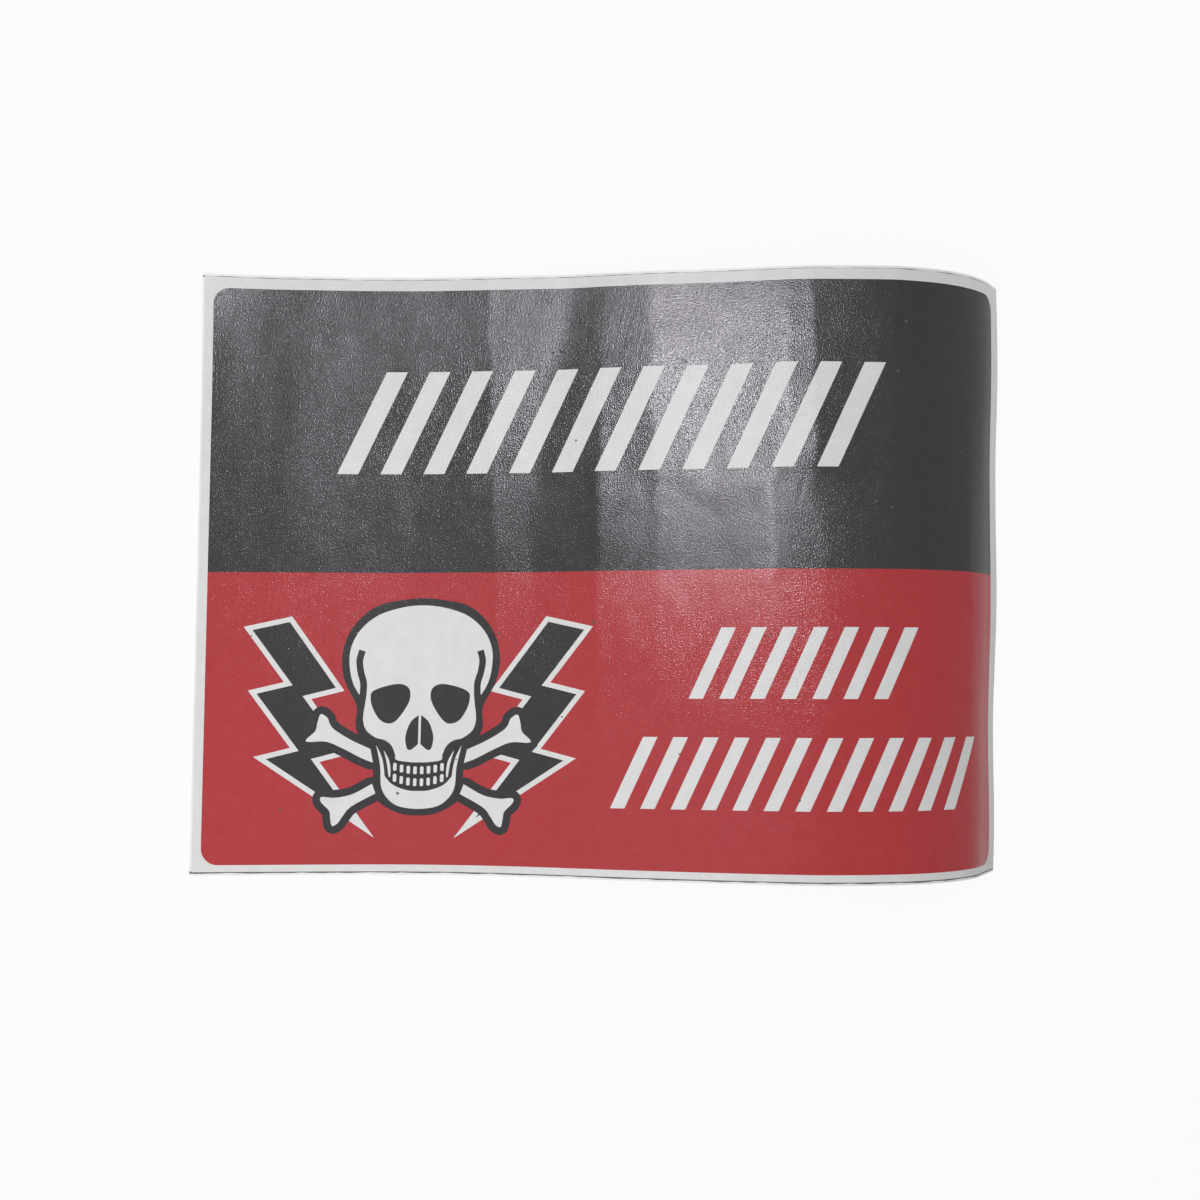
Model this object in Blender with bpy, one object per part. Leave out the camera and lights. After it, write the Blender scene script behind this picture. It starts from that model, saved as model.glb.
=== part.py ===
# High voltage warning sign: a printed vinyl sheet, still on its release liner, lying on a floor.
# It was stored rolled, so its left part lies flat, it rises in a low hump, and its right edge
# curls down and rests on the floor again.
# Metres, +Z up. +X runs along the sheet's long side, from its left edge to its curled right edge,
# and +Y runs to the top of the sign. The origin is under the middle of the part, on the floor.

import bpy
import numpy as np
from math import cos, hypot, pi, radians, sin, tan
from mathutils import Vector
from mathutils.geometry import delaunay_2d_cdt
from mathutils.kdtree import KDTree

# The release liner, the larger sheet, which lies on the floor
SHEET_LONG = 0.350
SHEET_HIGH = 0.250
LINER_THICK = 0.00017

# The printed vinyl on top of it, cut a little smaller
FILM_THICK = 0.00018
FILM_INSET_SIDE = 0.0008
FILM_INSET_END = 0.0013
LAYER_GAP = 0.0003

# How the sheet lies. A pair holds the value at the lower and at the upper long edge.
LIFT_FROM = 0.045
LIFT_TO = 0.165
LIFT_SLOPE = (16.3, 9.6)
FALL_FROM = (0.003, 0.149)
FALL_POWER = (6.93, 4.85)
EDGE_STRAIGHT = (0.018, 0.0095)
EDGE_WAVE_HIGH = 0.0010
EDGE_WAVE_LONG = 0.1008
EDGE_WAVE_AT = 0.2129

# The printed field: its margins on the sheet, its corners and its red lower part
PRINT_LEFT = 0.0053
PRINT_RIGHT = 0.0067
PRINT_TOP = 0.0059
PRINT_BOTTOM = 0.0041
PRINT_CORNER = 0.0068
RED_SHARE = 0.5

# Rows of white slanted bars. A row fills its field between a left and a right margin, with its
# bottom at a share of the field's height.
BAR_LEAN = 25.0
LARGE_BAR = {"wide": 0.0088, "high": 0.0435, "pitch": 0.0181}
SMALL_BAR = {"wide": 0.0058, "high": 0.0285, "pitch": 0.0122}
BLACK_ROWS = ((LARGE_BAR, 0.0524, 0.0574, 0.346),)
RED_ROWS = (
    (SMALL_BAR, 0.1995, 0.0462, 0.567),
    (SMALL_BAR, 0.1680, 0.0167, 0.202),
)

# The figure: skull, crossed bones and two bolts, at half the red field's height. Its points are in
# millimetres from its middle, right half only, because it is drawn in mirrored halves that lean a
# little to the right. Curves run through the points, and a point named twice is a sharp corner.
FIGURE_IN = 0.0884
FIGURE_LEAN = 1.0
BOLT_SHIFT = -1.1
BOLT_EDGE = 2.1
BOLT = ((53.0, 41.7), (72.7, 37.3), (55.4, 14.5), (70.0, 11.0), (52.0, -12.5), (66.8, -16.2),
        (16.4, -49.2), (39.7, -18.3), (27.1, -15.0), (44.0, 7.5), (30.5, 10.9))
BONE_EDGE = 3.2
UPPER_BONE = ((41.0, 1.3), (38.2, -0.2), (37.0, -2.9), (34.8, -5.3), (28.2, -9.3), (20.1, -13.0),
              (20.1, -13.0), (18.9, -18.6), (18.9, -18.6), (24.0, -16.6), (31.9, -12.6), (38.5, -10.0),
              (45.6, -10.1), (46.5, -9.0), (43.0, -5.6), (42.2, -2.0))
LOWER_BONE = ((39.5, -32.6), (34.2, -32.9), (27.1, -31.5), (19.0, -27.2), (19.0, -27.2),
              (17.5, -31.2), (17.5, -31.2), (27.1, -36.4), (30.4, -40.1), (32.6, -43.3), (34.9, -44.3),
              (35.7, -41.0), (36.3, -38.1), (39.6, -34.7))
SKULL = ((0.0, 49.4), (9.5, 48.5), (19.0, 46.2), (26.7, 40.2), (31.4, 32.4), (33.0, 23.5),
         (31.3, 14.2), (26.4, 4.6), (26.6, -2.0), (25.4, -7.0), (20.4, -14.0), (18.8, -22.4),
         (18.2, -29.0), (15.9, -34.7), (9.7, -38.4), (5.0, -39.8), (0.0, -40.1))
FACE = ((0.0, 46.4), (9.1, 45.4), (19.0, 42.0), (26.2, 35.6), (29.6, 28.0), (29.7, 20.5),
        (28.2, 14.2), (25.6, 9.5), (25.6, 9.5), (23.4, 9.0), (23.4, 3.1), (23.5, -1.5), (22.0, -5.4),
        (18.1, -8.3), (14.5, -9.3), (11.6, -11.4), (9.9, -15.0), (9.3, -17.4), (4.0, -18.3),
        (0.0, -18.4))
TEMPLE = ((24.7, 27.6), (25.7, 23.5), (25.1, 18.7), (23.9, 14.6), (23.8, 10.9), (24.2, 6.5), (24.8, 2.5))
TEMPLE_WIDE = 2.8
SOCKET = ((20.0, 10.6), (14.9, 12.8), (8.6, 13.8), (4.9, 12.0), (4.3, 8.0), (6.1, 3.7),
          (9.6, -1.0), (12.6, -2.5), (16.6, -1.0), (19.6, 3.6), (20.7, 7.6))
NOSTRIL = ((0.5, 1.0), (0.5, 1.0), (3.8, -1.9), (5.8, -7.6), (5.2, -12.3), (3.9, -13.4),
           (2.3, -12.5), (0.5, -10.9), (0.5, -10.9))
JAW = ((0.0, -37.4), (7.6, -36.4), (12.2, -33.5), (15.2, -28.5), (15.9, -20.0), (17.8, -11.3),
       (17.8, -11.3), (15.1, -17.0), (13.9, -24.1), (13.9, -24.1), (10.6, -27.5), (5.0, -29.7),
       (0.0, -30.1))
CHEEK_SLIT = ((14.7, -13.2), (14.7, -13.2), (12.5, -17.1), (11.7, -20.2), (11.6, -24.0),
              (12.3, -24.0), (13.1, -19.2))
TOOTH_WIDE = 1.45
TOOTH_HIGH = 3.2
TOOTH_PITCH = 2.8
TEETH_EACH_SIDE = 4
TEETH_ROWS = ((-21.7, 0.015), (-26.6, 0.019))

# How finely the sheet is divided
COLUMN_STEP = 0.007
ROW_STEP = 0.015
CURVE_STEPS = 2
CORNER_STEPS = 6
GRID_CLEAR = 0.002
WELD = 0.00002
WRAP_KEEP = 0.96
BEND_STEPS = 200
HEIGHT_STEPS = 60
CURL_LIMIT = 150.0
CURL_ROUNDS = 40
SHARP_ANGLE = 40.0

WHITE, BLACK, RED = range(3)
FILM_COLOURS = (
    ("white_vinyl", (0.66, 0.65, 0.63), 0.40),
    ("black_print", (0.045, 0.043, 0.046), 0.42),
    ("red_print", (0.42, 0.035, 0.035), 0.42),
)
LINER_COLOURS = (("liner_paper", (0.72, 0.70, 0.66), 0.60),)


# How the sheet lies
def between(pair, high):
    """A value that changes evenly from the lower to the upper long edge."""
    return pair[0] + (pair[1] - pair[0]) * high / SHEET_HIGH


def ease(x):
    """0 to 1 with no kink at either end."""
    x = np.clip(x, 0.0, 1.0)
    return x * x * (3.0 - 2.0 * x)


def rise(along, high):
    """The slope of the hump's left side, in radians."""
    return np.radians(between(LIFT_SLOPE, high)) * ease((along - LIFT_FROM) / (LIFT_TO - LIFT_FROM))


def fall(along, high):
    """The share of the edge's curl that has been reached."""
    start = between(FALL_FROM, high)
    end = SHEET_LONG - between(EDGE_STRAIGHT, high)
    return np.clip((along - start) / (end - start), 0.0, 1.0) ** between(FALL_POWER, high)


def way(along, high, curl):
    """Where the sheet's underside is after that much of its length: (across, up, slope)."""
    share = (np.arange(BEND_STEPS) + 0.5) / BEND_STEPS
    steps = along[:, None] * share
    slope = rise(steps, high[:, None]) - curl[:, None] * fall(steps, high[:, None])
    across = along * np.cos(slope).mean(axis=1)
    up = along * np.sin(slope).mean(axis=1)
    return across, up, rise(along, high) - curl * fall(along, high)


def solve_curl():
    """How far the right edge curls at a row of heights, so that it comes down to the floor.
    The edge is a little wavy, and touches the floor at the feet of its waves."""
    high = np.linspace(0.0, SHEET_HIGH, HEIGHT_STEPS)
    goal = EDGE_WAVE_HIGH * (1.0 + np.cos(2.0 * pi * (high - EDGE_WAVE_AT) / EDGE_WAVE_LONG)) / 2.0
    least = np.zeros(HEIGHT_STEPS)
    most = np.full(HEIGHT_STEPS, radians(CURL_LIMIT))
    along = np.full(HEIGHT_STEPS, SHEET_LONG)
    for _ in range(CURL_ROUNDS):
        middle = (least + most) / 2.0
        too_high = way(along, high, middle)[1] > goal
        least = np.where(too_high, middle, least)
        most = np.where(too_high, most, middle)
    return high, (least + most) / 2.0


CURL_HIGH, CURL = solve_curl()


def bent(points, offset):
    """Flat points (along, high) on the bent sheet, an offset above the liner's underside."""
    flat = np.array([tuple(p) for p in points])
    along, high = flat[:, 0], flat[:, 1]
    across, up, slope = way(along, high, np.interp(high, CURL_HIGH, CURL))
    return np.column_stack((across - offset * np.sin(slope), high, up + offset * np.cos(slope)))


# Outlines of the print, as closed rings of flat points
def curve(points, steps=CURVE_STEPS):
    """A smooth closed curve through points, with a sharp corner at a point named twice."""
    out = []
    count = len(points)
    for i in range(count):
        a, b, c, d = (Vector(points[(i + k) % count]) for k in (-1, 0, 1, 2))
        if b == c:
            continue
        for k in range(steps):
            x = k / steps
            bend = (2 * a - 5 * b + 4 * c - d) * x * x + (3 * b - a - 3 * c + d) * x * x * x
            out.append(tuple((2 * b + (c - a) * x + bend) / 2))
    return out


def mirrored(half):
    """A closed ring from its right half, which starts and ends on the middle line."""
    return list(half) + [(-x, y) for x, y in reversed(half[1:-1])]


def area(ring):
    """Twice the signed area, above zero when the ring runs anticlockwise."""
    pairs = zip(ring, ring[1:] + ring[:1])
    return sum(a[0] * b[1] - b[0] * a[1] for a, b in pairs)


def side_normals(ring):
    """The outward normal of each side of a ring."""
    turn = 1.0 if area(ring) > 0 else -1.0
    out = []
    for a, b in zip(ring, ring[1:] + ring[:1]):
        side = (Vector(b) - Vector(a)).normalized() * turn
        out.append(Vector((side.y, -side.x)))
    return out


def pushed(ring, distance):
    """The ring with each side moved out by a distance."""
    normals = side_normals(ring)
    out = []
    for i, p in enumerate(ring):
        one, two = normals[i - 1], normals[i]
        out.append(tuple(Vector(p) + (one + two) * distance / (1.0 + one.dot(two))))
    return out


def wrapped(ring, distance):
    """A round outline at a distance outside a smooth ring, without the loops of its hollows."""
    normals = side_normals(ring)
    out = []
    for i, p in enumerate(ring):
        normal = (normals[i - 1] + normals[i]).normalized()
        q = Vector(p) + normal * distance
        if min((q - Vector(other)).length for other in ring) > WRAP_KEEP * distance:
            out.append(tuple(q))
    return out


def band(path, wide):
    """A strip of even width along an open path."""
    left, right = [], []
    for i, p in enumerate(path):
        step = Vector(path[min(i + 1, len(path) - 1)]) - Vector(path[max(i - 1, 0)])
        out = Vector((-step.y, step.x)).normalized() * wide / 2
        left.append(tuple(Vector(p) + out))
        right.append(tuple(Vector(p) - out))
    return left + right[::-1]


def divided(ring, step):
    """The ring with its long sides cut into steps."""
    out = []
    for a, b in zip(ring, ring[1:] + ring[:1]):
        count = max(1, round(hypot(b[0] - a[0], b[1] - a[1]) / step))
        out += [(a[0] + (b[0] - a[0]) * k / count, a[1] + (b[1] - a[1]) * k / count) for k in range(count)]
    return out


def spread(low, high, step):
    """Even places from low to high, about a step apart."""
    count = max(1, round((high - low) / step))
    return [low + (high - low) * k / count for k in range(count + 1)]


def rounded(low, high, radius, corners):
    """A rectangle whose named corners are round, anticlockwise from the lower left one."""
    out = []
    sides = ((low[0], low[1], 180), (high[0], low[1], 270), (high[0], high[1], 0), (low[0], high[1], 90))
    for name, (x, y, start) in zip(("lower", "lower", "upper", "upper"), sides):
        if name not in corners:
            out.append((x, y))
            continue
        centre_x = x + radius if x == low[0] else x - radius
        centre_y = y + radius if y == low[1] else y - radius
        for k in range(CORNER_STEPS + 1):
            angle = radians(start + 90.0 * k / CORNER_STEPS)
            out.append((centre_x + radius * cos(angle), centre_y + radius * sin(angle)))
    return out


def leaning(size):
    """How far a bar's top stands to the right of its foot."""
    return size["high"] * tan(radians(BAR_LEAN))


def bar(size, left, bottom):
    """A slanted bar."""
    right = left + size["wide"]
    top = bottom + size["high"]
    lean = leaning(size)
    return [(left, bottom), (right, bottom), (right + lean, top), (left + lean, top)]


def figure():
    """The figure's rings in its own millimetres, each with its colour, the lowest first."""
    rings = []

    def both(ring, colour, shift=0.0):
        rings.append(([(x + shift, y) for x, y in ring], colour))
        rings.append(([(shift - x, y) for x, y in ring][::-1], colour))

    both(list(BOLT), WHITE, BOLT_SHIFT)
    both(pushed(list(BOLT), -BOLT_EDGE), BLACK, BOLT_SHIFT)
    for bone in (UPPER_BONE, LOWER_BONE):
        both(wrapped(curve(bone, 2 * CURVE_STEPS), BONE_EDGE), BLACK)
    rings.append((curve(mirrored(SKULL)), BLACK))
    for bone in (UPPER_BONE, LOWER_BONE):
        both(curve(bone), WHITE)
    rings.append((curve(mirrored(FACE)), WHITE))
    rings.append((curve(mirrored(JAW)), WHITE))
    both(band(TEMPLE, TEMPLE_WIDE), BLACK)
    both(curve(SOCKET), BLACK)
    both(curve(NOSTRIL), BLACK)
    both(curve(CHEEK_SLIT), WHITE)
    for base, bow in TEETH_ROWS:
        for k in range(TEETH_EACH_SIDE):
            x = (k + 0.5) * TOOTH_PITCH
            both(tooth(x, base + bow * x * x), WHITE)
    return rings


def tooth(x, y):
    """A small upright block with its corners cut."""
    w, h, cut = TOOTH_WIDE / 2, TOOTH_HIGH / 2, TOOTH_WIDE / 4
    return [(x - w, y - h + cut), (x - w + cut, y - h), (x + w - cut, y - h), (x + w, y - h + cut),
            (x + w, y + h - cut), (x + w - cut, y + h), (x - w + cut, y + h), (x - w, y + h - cut)]


def print_rings():
    """Every ring of the print on the flat sheet, with its colour, the lowest first."""
    left, bottom = PRINT_LEFT, PRINT_BOTTOM
    right, top = SHEET_LONG - PRINT_RIGHT, SHEET_HIGH - PRINT_TOP
    line = bottom + (top - bottom) * RED_SHARE
    rings = [
        (rounded((left, line), (right, top), PRINT_CORNER, ("upper",)), BLACK),
        (rounded((left, bottom), (right, line), PRINT_CORNER, ("lower",)), RED),
    ]
    for rows, field_low, field_high in ((BLACK_ROWS, line, top), (RED_ROWS, bottom, line)):
        for size, margin_left, margin_right, share in rows:
            last = right - margin_right - size["wide"] - leaning(size)
            for x in spread(left + margin_left, last, size["pitch"]):
                rings.append((bar(size, x, field_low + share * (field_high - field_low)), WHITE))
    lean = tan(radians(FIGURE_LEAN))
    middle = (left + FIGURE_IN, (bottom + line) / 2)
    for ring, colour in figure():
        placed = [(middle[0] + (x + y * lean) / 1000, middle[1] + y / 1000) for x, y in ring]
        rings.append((placed, colour))
    return [(divided(ring, COLUMN_STEP), colour) for ring, colour in rings]


# Solids
def inside(point, ring):
    """Whether a flat point lies in a ring."""
    x, y = point
    found = False
    for a, b in zip(ring, ring[1:] + ring[:1]):
        if (a[1] > y) != (b[1] > y) and x < a[0] + (y - a[1]) / (b[1] - a[1]) * (b[0] - a[0]):
            found = not found
    return found


def edge_ring(low, high):
    """A rectangle's edge, divided as the sheet is, anticlockwise."""
    xs = spread(low[0], high[0], COLUMN_STEP)
    ys = spread(low[1], high[1], ROW_STEP / 2)
    bottom = [(x, low[1]) for x in xs[:-1]]
    right = [(high[0], y) for y in ys[:-1]]
    top = [(x, high[1]) for x in xs[:0:-1]]
    left = [(low[0], y) for y in ys[:0:-1]]
    return bottom + right + top + left


def triangles(low, high, rings=()):
    """The flat rectangle cut into triangles along the rings. Gives the points, the triangles and
    the place of each edge point."""
    edge = edge_ring(low, high)
    points = list(edge)
    sides = [(i, (i + 1) % len(edge)) for i in range(len(edge))]
    for ring, _ in rings:
        first = len(points)
        points.extend(ring)
        sides.extend((first + i, first + (i + 1) % len(ring)) for i in range(len(ring)))
    drawn = divided(edge, GRID_CLEAR)
    for ring, _ in rings:
        drawn += divided(ring, GRID_CLEAR)
    tree = KDTree(len(drawn))
    for i, p in enumerate(drawn):
        tree.insert((p[0], p[1], 0.0), i)
    tree.balance()
    for x in spread(low[0], high[0], COLUMN_STEP)[1:-1]:
        for y in spread(low[1], high[1], ROW_STEP)[1:-1]:
            if tree.find((x, y, 0.0))[2] > GRID_CLEAR:
                points.append((x, y))
    flat, _, faces, origins, _, _ = delaunay_2d_cdt([Vector(p) for p in points], sides, [], 0, WELD)
    place = {}
    for i, sources in enumerate(origins):
        for source in sources:
            place[source] = i
    return flat, faces, [place[i] for i in range(len(edge))]


def sheet(name, low, high, base, thick, colours, rings=()):
    """One layer of the sheet as a closed solid, printed on its upper face."""
    top, top_faces, top_edge = triangles(low, high, rings)
    under, under_faces, under_edge = triangles(low, high)
    verts = np.vstack((bent(top, base + thick), bent(under, base)))
    shift = len(top)
    faces = [tuple(f) for f in top_faces]
    paint = []
    for f in faces:
        middle = sum((Vector(top[i]) for i in f), Vector((0.0, 0.0))) / 3
        found = [colour for ring, colour in rings if inside(middle, ring)]
        paint.append(found[-1] if found else WHITE)
    faces += [tuple(shift + i for i in reversed(f)) for f in under_faces]
    count = len(top_edge)
    for i in range(count):
        a, b = top_edge[i], top_edge[(i + 1) % count]
        c, d = shift + under_edge[(i + 1) % count], shift + under_edge[i]
        faces += [(a, d, c), (a, c, b)]
    mesh = bpy.data.meshes.new(name)
    mesh.from_pydata(verts.tolist(), [], faces)
    for label, colour, roughness in colours:
        mesh.materials.append(finish(label, colour, roughness))
    for polygon, colour in zip(mesh.polygons, paint):
        polygon.material_index = colour
    mesh.shade_smooth()
    mesh.set_sharp_from_angle(angle=radians(SHARP_ANGLE))
    mesh.validate()
    piece = bpy.data.objects.new(name, mesh)
    bpy.context.scene.collection.objects.link(piece)
    return piece


def finish(label, colour, roughness):
    """A plain material of one colour."""
    material = bpy.data.materials.new(label)
    material.use_nodes = True
    shader = material.node_tree.nodes["Principled BSDF"]
    shader.inputs["Base Color"].default_value = (*colour, 1.0)
    shader.inputs["Roughness"].default_value = roughness
    shader.inputs["Metallic"].default_value = 0.0
    material.diffuse_color = (*colour, 1.0)
    return material


def centre(pieces):
    """Moves the pieces so that the origin lies under the middle of the part."""
    corners = np.array([v.co for piece in pieces for v in piece.data.vertices])
    low, high = corners.min(axis=0), corners.max(axis=0)
    for piece in pieces:
        for v in piece.data.vertices:
            v.co -= Vector(((low[0] + high[0]) / 2, (low[1] + high[1]) / 2, low[2]))


for old in list(bpy.data.objects):
    bpy.data.objects.remove(old)

liner = sheet("release_liner", (0.0, 0.0), (SHEET_LONG, SHEET_HIGH), 0.0, LINER_THICK, LINER_COLOURS)
film = sheet(
    "printed_vinyl",
    (FILM_INSET_SIDE, FILM_INSET_END),
    (SHEET_LONG - FILM_INSET_SIDE, SHEET_HIGH - FILM_INSET_END),
    LINER_THICK + LAYER_GAP,
    FILM_THICK,
    FILM_COLOURS,
    print_rings(),
)
centre((liner, film))
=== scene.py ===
from math import cos, hypot, pi, radians, sin, tan

import bpy
import numpy as np
from mathutils import Matrix, Vector
from mathutils.geometry import delaunay_2d_cdt
from mathutils.kdtree import KDTree


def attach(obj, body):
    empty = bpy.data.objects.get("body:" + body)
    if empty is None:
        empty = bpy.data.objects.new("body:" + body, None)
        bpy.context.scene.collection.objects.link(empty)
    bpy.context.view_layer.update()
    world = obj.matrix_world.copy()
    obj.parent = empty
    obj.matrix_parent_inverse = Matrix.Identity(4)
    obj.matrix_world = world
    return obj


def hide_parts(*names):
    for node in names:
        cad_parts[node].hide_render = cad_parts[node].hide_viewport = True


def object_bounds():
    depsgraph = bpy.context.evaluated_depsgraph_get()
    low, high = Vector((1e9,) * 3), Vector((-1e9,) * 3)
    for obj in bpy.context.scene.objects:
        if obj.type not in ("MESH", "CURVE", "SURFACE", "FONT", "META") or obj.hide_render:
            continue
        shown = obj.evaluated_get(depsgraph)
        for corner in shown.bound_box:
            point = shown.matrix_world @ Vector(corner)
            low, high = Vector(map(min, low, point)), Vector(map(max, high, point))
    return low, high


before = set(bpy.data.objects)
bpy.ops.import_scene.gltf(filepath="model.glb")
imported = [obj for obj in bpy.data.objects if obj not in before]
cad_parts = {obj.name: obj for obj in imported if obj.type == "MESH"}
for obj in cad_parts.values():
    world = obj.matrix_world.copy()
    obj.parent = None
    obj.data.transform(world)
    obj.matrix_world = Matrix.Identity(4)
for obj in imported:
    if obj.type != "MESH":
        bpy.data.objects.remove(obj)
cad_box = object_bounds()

# The release liner is the backing that the vinyl came on: white siliconed paper, cut square. It is
# the larger of the two layers and lies on the floor. It was stored rolled, so it lies flat at its
# left, rises in a low hump with a few sharp creases, and its right edge curls down to the floor.
SHEET_LONG = 0.350
SHEET_HIGH = 0.250
LINER_THICK = 0.00017
FLOOR_CORNER = Vector(cad_box[0])

# The lie along the sheet's length: where it starts to rise and where it has its full slope in degrees,
# then where it starts to fall, how late the fall comes, and how long the right end stays straight. The
# right edge touches the floor but for a low wave. A pair is for the lower and the upper long edge.
LIFT_FROM = 0.045
LIFT_TO = 0.165
LIFT_SLOPE = (16.3, 9.6)
FALL_FROM = (0.003, 0.149)
FALL_POWER = (6.93, 4.85)
EDGE_STRAIGHT = (0.018, 0.0095)
EDGE_WAVE_HIGH = 0.0010
EDGE_WAVE_LONG = 0.1008
EDGE_WAVE_AT = 0.2129

# Each crease: how far it reaches to the left and to the right, its roundness, and its points from the
# lower edge up, as (along, high, turn in degrees). The sheet turns down by that much at the crease, and
# back again little by little over the two reaches.
CREASES = (
    (0.060, 0.033, 0.0006, (
        (0.1244, 0.030, 0.0), (0.1244, 0.064, 4.0), (0.1244, 0.094, 3.5), (0.1244, 0.124, 3.0),
        (0.1214, 0.184, 4.0), (0.1204, 0.220, 3.5), (0.1204, 0.250, 4.0))),
    (0.032, 0.025, 0.0035, (
        (0.1394, 0.090, 0.0), (0.1394, 0.124, -6.0), (0.1394, 0.144, -5.5), (0.1414, 0.170, -5.0),
        (0.1454, 0.205, -5.0), (0.1534, 0.226, -5.0), (0.1564, 0.250, -5.0))),
    (0.015, 0.055, 0.0006, (
        (0.1694, 0.000, 2.0), (0.1674, 0.064, 6.0), (0.1664, 0.124, 5.5), (0.1674, 0.162, 6.5),
        (0.1684, 0.212, 3.0), (0.1684, 0.250, 0.5))),
    (0.036, 0.036, 0.0008, (
        (0.1914, 0.060, 0.0), (0.1914, 0.090, 2.5), (0.1914, 0.146, 3.5), (0.1894, 0.206, 7.5),
        (0.1899, 0.226, 5.0), (0.1879, 0.232, 4.5), (0.1904, 0.250, 4.0))),
    (0.036, 0.046, 0.0010, (
        (0.2374, 0.030, 0.0), (0.2374, 0.064, 2.5), (0.2374, 0.110, 8.0), (0.2374, 0.124, 9.5),
        (0.2374, 0.160, 9.5), (0.2444, 0.184, 10.0), (0.2444, 0.228, 8.0), (0.2444, 0.250, 2.0))),
    (0.038, 0.028, 0.0008, (
        (0.2534, 0.000, 3.0), (0.2540, 0.060, 3.5), (0.2579, 0.122, 1.5), (0.2584, 0.144, 2.0),
        (0.2534, 0.152, 2.5), (0.2559, 0.176, 7.0), (0.2554, 0.250, 5.0))),
    (0.030, 0.017, 0.0006, (
        (0.2974, 0.000, 1.5), (0.2974, 0.064, 3.0), (0.2984, 0.124, 6.0), (0.2984, 0.217, 7.5),
        (0.2904, 0.223, 7.5), (0.2904, 0.250, 4.0))),
    (0.010, 0.016, 0.0006, (
        (0.3239, 0.030, 2.0), (0.3234, 0.080, 7.0), (0.3229, 0.124, 11.0), (0.3234, 0.150, 9.0),
        (0.3244, 0.176, 4.0), (0.3244, 0.206, 0.0))),
)

# How far a crease strays from the straight lines between its points, over which lengths, and how much
# that differs from one crease to the next
CREASE_WANDER = 0.0004
WANDER_LONG = (0.047, 0.019, 0.0083)
WANDER_SHIFT = 9.0

# The upper left corner stands a little off the floor
CORNER_LIFT = 0.0027
CORNER_LONG = 0.036
CORNER_HIGH = 0.066

# The lie is worked out in these steps. The curl, up to a limit in degrees, is found by halving its range
# until the right edge comes down to the floor.
ALONG_STEP = 0.0005
HIGH_STEP = 0.0025
CURL_LIMIT = 150.0
CURL_ROUNDS = 40
along_row = np.linspace(0.0, SHEET_LONG, round(SHEET_LONG / ALONG_STEP) + 1)
high_column = np.linspace(0.0, SHEET_HIGH, round(SHEET_HIGH / HIGH_STEP) + 1)[:, None]


def between(pair):
    """A value that changes evenly from the lower to the upper long edge, for each height."""
    return pair[0] + (pair[1] - pair[0]) * high_column / SHEET_HIGH


def creased(left_reach, right_reach, roundness, points):
    """What one crease adds to the slope, in radians, over the whole sheet."""
    along, high, turn = np.array(points).T
    shifted = high_column + WANDER_SHIFT * along[0]
    wander = sum(np.sin(2.0 * pi * shifted / long) for long in WANDER_LONG) * CREASE_WANDER
    away = along_row - np.interp(high_column, high, along) - wander
    near = np.clip(1.0 - np.abs(away) / np.where(away < 0.0, left_reach, right_reach), 0.0, 1.0)
    return -np.radians(np.interp(high_column, high, turn)) / 2.0 * np.tanh(away / roundness) * near


def climbed(values):
    """The sum along each row up to each place, from half way between its neighbours."""
    steps = (values[:, 1:] + values[:, :-1]) / 2.0 * ALONG_STEP
    return np.hstack((np.zeros((len(values), 1)), np.cumsum(steps, axis=1)))


ease = np.clip((along_row - LIFT_FROM) / (LIFT_TO - LIFT_FROM), 0.0, 1.0)
rising = np.radians(between(LIFT_SLOPE)) * ease * ease * (3.0 - 2.0 * ease)
rising = rising + sum(creased(*crease) for crease in CREASES)
fall_length = SHEET_LONG - between(EDGE_STRAIGHT) - between(FALL_FROM)
falling = np.clip((along_row - between(FALL_FROM)) / fall_length, 0.0, 1.0) ** between(FALL_POWER)
foot = EDGE_WAVE_HIGH * (1.0 + np.cos(2.0 * pi * (high_column - EDGE_WAVE_AT) / EDGE_WAVE_LONG)) / 2.0
least = np.zeros_like(high_column)
most = np.full_like(high_column, radians(CURL_LIMIT))
for _ in range(CURL_ROUNDS):
    curl = (least + most) / 2.0
    too_high = climbed(np.sin(rising - curl * falling))[:, -1:] > foot
    least = np.where(too_high, curl, least)
    most = np.where(too_high, most, curl)
slope = rising - curl * falling
near_corner = (np.clip(1.0 - along_row / CORNER_LONG, 0.0, 1.0) ** 2
               * np.clip(1.0 - (SHEET_HIGH - high_column) / CORNER_HIGH, 0.0, 1.0) ** 2)
across, up = climbed(np.cos(slope)), climbed(np.sin(slope)) + CORNER_LIFT * near_corner
slope = slope + np.gradient(CORNER_LIFT * near_corner, ALONG_STEP, axis=1)
across_by_high, up_by_high = (np.gradient(values, HIGH_STEP, axis=0) for values in (across, up))
lie = np.stack((across, up, slope, across_by_high, up_by_high))


def bent(flat, offset):
    """Flat points on the bent sheet, an offset above the liner's underside, and the way up there."""
    i, j = flat[:, 1] / HIGH_STEP, flat[:, 0] / ALONG_STEP
    i0 = np.clip(i.astype(int), 0, lie.shape[1] - 2)
    j0 = np.clip(j.astype(int), 0, lie.shape[2] - 2)
    p, q = i - i0, j - j0
    low = lie[:, i0, j0] * (1.0 - q) + lie[:, i0, j0 + 1] * q
    high = lie[:, i0 + 1, j0] * (1.0 - q) + lie[:, i0 + 1, j0 + 1] * q
    x, z, angle, x_by_high, z_by_high = low * (1.0 - p) + high * p
    way_up = np.stack((-np.sin(angle), np.sin(angle) * x_by_high - np.cos(angle) * z_by_high, np.cos(angle)))
    way_up = (way_up / np.linalg.norm(way_up, axis=0)).T
    return np.stack((x, flat[:, 1], z)).T + offset * way_up + np.array(FLOOR_CORNER), way_up


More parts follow.
